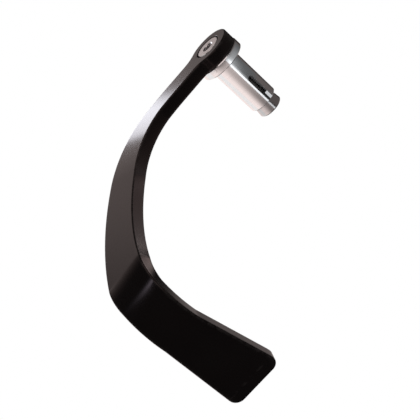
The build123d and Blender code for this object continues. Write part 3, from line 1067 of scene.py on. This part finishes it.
# %% Bent card and bright band in front of the plug
CARD_RADIUS = 45.0 * MM
CARD_START_X = 7.0 * MM
CARD_END_X = 130.0 * MM
CARD_SOFT_END = 1.0 * MM
SHEEN_END_X = 30.0 * MM
SHEEN_TOP_DEGREES = 115.0
BAND_TOP_DEGREES = 27.0
BAND_FOOT_DEGREES = 14.8
CARD_FOOT_DEGREES = -75.0
BAND_TONE = 1.45
BAND_FADE = 0.35
SHEEN_TONE = 0.12
SHEEN_BAND_TONE = 0.5
SHEEN_COLLAR_TONE = 0.36


def bent_sheet(name, top_degrees, foot_degrees, end_x):
    """A sheet on a cylinder round the bar's line, and each point's height as an angle and its x."""
    turns = np.radians(np.linspace(top_degrees, foot_degrees, 61))
    turn, x = np.meshgrid(turns, np.linspace(CARD_START_X, end_x, 124))
    return stage_sheet(name, ring_points(x, CARD_RADIUS, math.pi - turn)), turn, x


card, card_turn, card_x = bent_sheet("bent_card", BAND_FOOT_DEGREES, CARD_FOOT_DEGREES, CARD_END_X)
soft_end = rise(card_x, CARD_START_X, CARD_START_X + CARD_SOFT_END)
dim_tone = 0.55 - 0.38 * rise(card_x, 5 * MM, 55 * MM) - 0.1 * rise(card_x, 46 * MM, 52 * MM)
towards_foot = rise(-card_turn, math.radians(4.5), math.radians(61))
hang_cloth(card, soft_end * (dim_tone + (1 - dim_tone) * towards_foot), WARM_CLOTH)

PALE_CLOTH = lit_cloth("pale_cloth", (0.93, 0.97, 1.0))
band, _, band_x = bent_sheet("bright_band", BAND_TOP_DEGREES, BAND_FOOT_DEGREES, CARD_END_X)
band_tone = BAND_TONE - BAND_FADE * rise(band_x, 20 * MM, 42 * MM)
hang_cloth(band, soft_end * band_tone, PALE_CLOTH)

sheen, sheen_turn, sheen_x = bent_sheet(
    "collar_sheen", SHEEN_TOP_DEGREES, BAND_TOP_DEGREES, SHEEN_END_X)
at_band = rise(-sheen_turn, math.radians(-46), math.radians(-20))
at_band *= rise(-sheen_x, -SHEEN_END_X, -20 * MM)
at_collar = rise(-sheen_turn, math.radians(-SHEEN_TOP_DEGREES), math.radians(-15))
at_collar *= rise(-sheen_x, -24 * MM, -11 * MM)
sheen_tone = SHEEN_TONE + SHEEN_BAND_TONE * at_band + SHEEN_COLLAR_TONE * at_collar
hang_cloth(sheen, sheen_tone, PALE_CLOTH)

# %% [markdown]
# Two small cards stand close to the heel, where the blade turns sharply. So close by, the mirror
# image of a card changes from place to place on the metal, which a far lamp can't do. The cool one,
# below, fades along its length and makes the slanting streak on the bend. The warm one, above,
# lights the heel's narrow side and fades towards the paddle.


# %% Small cards at the heel
def near_card(name, aim, way, distance, long_way, size):
    """A flat card that faces the aim from a distance, and each point's place along and across it."""
    way = np.asarray(way) / np.linalg.norm(way)
    side = np.cross(long_way, way)
    side /= np.linalg.norm(side)
    down = np.cross(way, side)
    across, along = np.meshgrid(
        np.linspace(-size[1] / 2, size[1] / 2, 13), np.linspace(-size[0] / 2, size[0] / 2, 41))
    middle = np.asarray(aim) + way * distance
    sheet = stage_sheet(name, middle + down * along[..., None] + side * across[..., None])
    return sheet, along, across


STREAK_AIM = np.array([19.7, -88.3, -96.5]) * MM
STREAK_WAY = (-0.602, -0.570, -0.560)
STREAK_LONG_WAY = (-0.273, 0.526, -0.805)
STREAK_DISTANCE = 60 * MM
STREAK_SIZE = (30 * MM, 12 * MM)
STREAK_TONE = 16.0
STREAK_FADE = 5.5 / STREAK_SIZE[0]
COOL_CLOTH = lit_cloth("cool_cloth", (0.7, 0.82, 1.0))
streak_card, along, across = near_card(
    "streak_card", STREAK_AIM, STREAK_WAY, STREAK_DISTANCE, STREAK_LONG_WAY, STREAK_SIZE)
from_top = along + STREAK_SIZE[0] / 2
streak = rise(from_top, 0, 3 * MM) * np.exp(-STREAK_FADE * from_top)
hang_cloth(streak_card, STREAK_TONE * streak * (1 - (2 * across / STREAK_SIZE[1]) ** 2), COOL_CLOTH)

HEEL_AIM = np.array([14.2, -82.5, -83.9]) * MM
HEEL_WAY = (0.275, 0.607, 0.746)
HEEL_LONG_WAY = (0.96, -0.16, -0.22)
HEEL_DISTANCE = 26 * MM
HEEL_SIZE = (18 * MM, 6 * MM)
HEEL_TONE = 3.6
heel_card, along, across = near_card(
    "heel_card", HEEL_AIM, HEEL_WAY, HEEL_DISTANCE, HEEL_LONG_WAY, HEEL_SIZE)
heel_fade = rise(along, -9 * MM, -5 * MM) * rise(-along, -9 * MM, -1.5 * MM)
heel_side = 0.25 + 0.75 * rise(across, -1.2 * MM, 1.2 * MM)
hang_cloth(heel_card, HEEL_TONE * heel_fade * heel_side, WARM_CLOTH)

# %% [markdown]
# The colours are shown as they are, with no film look on top.

# %% View settings
bpy.context.scene.view_settings.view_transform = "Standard"
